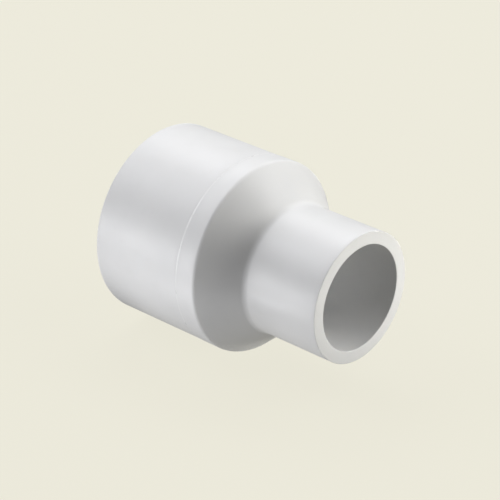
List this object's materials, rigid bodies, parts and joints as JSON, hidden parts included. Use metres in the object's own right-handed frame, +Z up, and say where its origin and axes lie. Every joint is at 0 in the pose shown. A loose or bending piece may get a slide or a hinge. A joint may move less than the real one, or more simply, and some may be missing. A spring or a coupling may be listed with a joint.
{
  "type": "reducing coupling",
  "caption": "White PVC solvent-weld reducing coupling: a large pipe socket, a conical shoulder and a small pipe socket on one axis.",
  "frame": {"origin": "below the middle of the length, on the surface that the fitting lies on", "axes": "+X along the waterway towards the small socket's mouth, +Z up, with the fitting lying on its side"},
  "size_m": [0.0644, 0.0496, 0.0495],
  "materials": {
    "white_pvc": "semi-gloss moulded plastic",
    "dried_cement": "smooth dried solvent cement"
  },
  "bodies": {
    "root": {"large_socket_sleeve": "white_pvc", "reducer_body": "white_pvc", "solvent_cement_ring": "dried_cement"}
  },
  "joints": []
}
